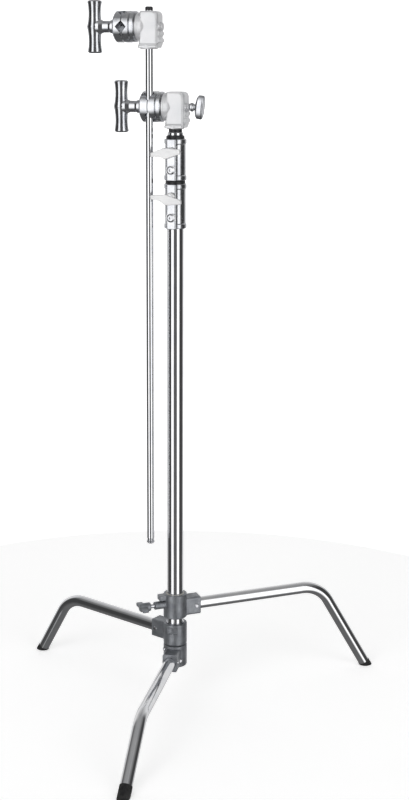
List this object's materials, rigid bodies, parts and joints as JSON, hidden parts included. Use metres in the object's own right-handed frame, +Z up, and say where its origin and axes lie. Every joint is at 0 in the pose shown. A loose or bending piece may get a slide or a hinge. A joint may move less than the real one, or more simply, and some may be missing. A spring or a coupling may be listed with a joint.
{
  "type": "sliding-leg grip stand",
  "caption": "Three-section steel stand with folding legs, one leg sliding, and a long rod arm held by a clamp head, with a second clamp head at the rod's end.",
  "frame": {"origin": "on the column's axis at floor level", "axes": "+Z up along the column, -X the way both clamp heads point, -Y the side of the collar levers"},
  "size_m": [0.7804, 0.7598, 1.4938],
  "materials": {
    "polished_tube": "polished",
    "polished_casting": "polished casting",
    "head_casting": "satin cast",
    "collar_casting": "satin chrome casting",
    "lever_casting": "white satin cast",
    "base_casting": "dull cast",
    "fastener": "zinc plated",
    "brass": "plain",
    "black_plastic": "satin",
    "guide_plastic": "plain",
    "rubber": "matte",
    "tail_metal": "turned end"
  },
  "bodies": {
    "base": {"main_column": "polished_tube", "column_end_plug": "black_plastic", "front_casting": "base_casting", "casting_screws": "fastener", "front_leg": "polished_tube", "front_foot": "rubber", "front_leg_rivet": "fastener", "retaining_ring": "fastener", "lower_collar": "collar_casting", "lower_bush": "black_plastic", "lower_collar_bolt": "fastener", "lower_collar_washer": "fastener"},
    "lower_pad": {"lower_clamp_pad": "brass"},
    "lower_lever": {"lower_lever": "lever_casting", "lower_lever_screw": "fastener"},
    "middle_leg": {"middle_casting": "base_casting", "middle_leg": "polished_tube", "middle_foot": "rubber", "middle_leg_rivet": "fastener"},
    "slide_rings": {"slide_rings": "guide_plastic"},
    "slide_leg": {"slide_casting": "base_casting", "slide_leg": "polished_tube", "slide_foot": "rubber", "slide_leg_rivet": "fastener"},
    "brake_shoe": {"brake_shoe": "brass"},
    "wing_knob": {"wing_knob": "base_casting", "wing_knob_screw": "fastener"},
    "riser_2_guide": {"riser_2_guide": "guide_plastic"},
    "riser_2": {"riser_2_tube": "polished_tube", "upper_collar": "collar_casting", "upper_bush": "black_plastic", "upper_collar_bolt": "fastener", "upper_collar_washer": "fastener"},
    "upper_pad": {"upper_clamp_pad": "brass"},
    "upper_lever": {"upper_lever": "lever_casting", "upper_lever_screw": "fastener"},
    "riser_3_guide": {"riser_3_guide": "guide_plastic"},
    "riser_3": {"riser_3_tube": "polished_tube", "top_spigot": "polished_tube", "top_ring": "black_plastic"},
    "lower_head": {"lower_head_body": "head_casting", "lower_head_stud": "fastener", "lower_friction_plate": "polished_casting"},
    "spigot_pad": {"spigot_pad": "brass"},
    "spigot_knob": {"spigot_knob": "polished_casting", "spigot_knob_screw": "fastener"},
    "lower_inner_jaw": {"lower_inner_jaw": "polished_casting"},
    "lower_outer_jaw": {"lower_outer_jaw": "polished_casting", "lower_handle_washer": "fastener"},
    "lower_t_handle": {"lower_t_handle": "polished_casting"},
    "arm": {"arm_rod": "polished_tube", "arm_end_cap": "black_plastic", "arm_tail_cap": "tail_metal"},
    "upper_head": {"upper_head_body": "head_casting", "upper_head_stud": "fastener", "upper_friction_plate": "polished_casting"},
    "upper_inner_jaw": {"upper_inner_jaw": "polished_casting"},
    "upper_outer_jaw": {"upper_outer_jaw": "polished_casting", "upper_handle_washer": "fastener"},
    "upper_t_handle": {"upper_t_handle": "polished_casting"}
  },
  "joints": [
    {"name": "lower_clamp_travel", "type": "slide", "parent": "base", "child": "lower_pad", "axis": [0, -1, 0], "range_m": [0, 0.00075]},
    {"name": "lower_lever_turn", "type": "hinge", "parent": "lower_pad", "child": "lower_lever", "pos_m": [0, -0.0365, 1.102], "axis": [0, -1, 0], "range_deg": [0, 180]},
    {"name": "middle_leg_swing", "type": "hinge", "parent": "base", "child": "middle_leg", "pos_m": [0, 0, 0.15], "axis": [0, 0, 1], "range_deg": [-113, 108]},
    {"name": "slide_leg_travel", "type": "slide", "parent": "base", "child": "slide_rings", "axis": [0, 0, 1], "range_m": [-0.01, 0.07]},
    {"name": "slide_leg_swing", "type": "hinge", "parent": "slide_rings", "child": "slide_leg", "pos_m": [0, 0, 0.21], "axis": [0, 0, 1], "range_deg": [-114, 113]},
    {"name": "brake_travel", "type": "slide", "parent": "slide_leg", "child": "brake_shoe", "axis": [-0.7976, -0.6032, 0], "range_m": [0, 0.00075]},
    {"name": "wing_knob_turn", "type": "hinge", "parent": "brake_shoe", "child": "wing_knob", "pos_m": [-0.05583, -0.04222, 0.216], "axis": [-0.7976, -0.6032, 0], "range_deg": [0, 180]},
    {"name": "riser_2_travel", "type": "slide", "parent": "base", "child": "riser_2_guide", "axis": [0, 0, 1], "range_m": [0, 0.8]},
    {"name": "riser_2_turn", "type": "hinge", "parent": "riser_2_guide", "child": "riser_2", "pos_m": [0, 0, 1.15], "axis": [0, 0, -1], "range_deg": [-2, 230]},
    {"name": "upper_clamp_travel", "type": "slide", "parent": "riser_2", "child": "upper_pad", "axis": [0, -1, 0], "range_m": [0, 0.00075]},
    {"name": "upper_lever_turn", "type": "hinge", "parent": "upper_pad", "child": "upper_lever", "pos_m": [0, -0.0365, 1.1935], "axis": [0, -1, 0], "range_deg": [0, 180]},
    {"name": "riser_3_travel", "type": "slide", "parent": "riser_2", "child": "riser_3_guide", "axis": [0, 0, 1], "range_m": [0, 0.8]},
    {"name": "riser_3_turn", "type": "hinge", "parent": "riser_3_guide", "child": "riser_3", "pos_m": [0, 0, 1.228], "axis": [0, 0, -1], "range_deg": [-2, 230]},
    {"name": "lower_head_turn", "type": "hinge", "parent": "riser_3", "child": "lower_head", "pos_m": [0, 0, 1.25], "axis": [0, 0, -1], "range_deg": [-2, 230]},
    {"name": "spigot_clamp_travel", "type": "slide", "parent": "lower_head", "child": "spigot_pad", "axis": [1, 0, 0], "range_m": [0, 0.00075]},
    {"name": "spigot_knob_turn", "type": "hinge", "parent": "spigot_pad", "child": "spigot_knob", "pos_m": [0.04, 0, 1.282], "axis": [1, 0, 0], "range_deg": [0, 180]},
    {"name": "arm_swing", "type": "hinge", "parent": "lower_head", "child": "lower_inner_jaw", "pos_m": [-0.04, 0, 1.282], "axis": [1, 0, 0], "range_deg": [-175, 100]},
    {"name": "lower_jaw_travel", "type": "slide", "parent": "lower_inner_jaw", "child": "lower_outer_jaw", "axis": [-1, 0, 0], "range_m": [0, 0.007]},
    {"name": "lower_handle_turn", "type": "hinge", "parent": "lower_outer_jaw", "child": "lower_t_handle", "pos_m": [-0.116, 0, 1.282], "axis": [-1, 0, 0], "range_deg": [0, 1440]},
    {"name": "arm_travel", "type": "slide", "parent": "lower_inner_jaw", "child": "arm", "axis": [0, 0, 1], "range_m": [-0.04, 0.85]},
    {"name": "upper_head_turn", "type": "hinge", "parent": "arm", "child": "upper_head", "pos_m": [-0.0503, -0.0163, 1.441], "axis": [0, 0, 1], "continuous": true},
    {"name": "upper_jaw_turn", "type": "hinge", "parent": "upper_head", "child": "upper_inner_jaw", "pos_m": [-0.0903, -0.0163, 1.441], "axis": [1, 0, 0], "continuous": true},
    {"name": "upper_jaw_travel", "type": "slide", "parent": "upper_inner_jaw", "child": "upper_outer_jaw", "axis": [-1, 0, 0], "range_m": [0, 0.007]},
    {"name": "upper_handle_turn", "type": "hinge", "parent": "upper_outer_jaw", "child": "upper_t_handle", "pos_m": [-0.1663, -0.0163, 1.441], "axis": [-1, 0, 0], "range_deg": [0, 1440]}
  ],
  "couplings": [
    {"joint": "lower_lever_turn", "follows": "lower_clamp_travel", "rad_per_m": 4188.8},
    {"joint": "wing_knob_turn", "follows": "brake_travel", "rad_per_m": 4188.8},
    {"joint": "upper_lever_turn", "follows": "upper_clamp_travel", "rad_per_m": 4188.8},
    {"joint": "spigot_knob_turn", "follows": "spigot_clamp_travel", "rad_per_m": 4188.8},
    {"joint": "lower_jaw_travel", "follows": "lower_handle_turn", "m_per_rad": 0.00027852},
    {"joint": "upper_jaw_travel", "follows": "upper_handle_turn", "m_per_rad": 0.00027852}
  ]
}
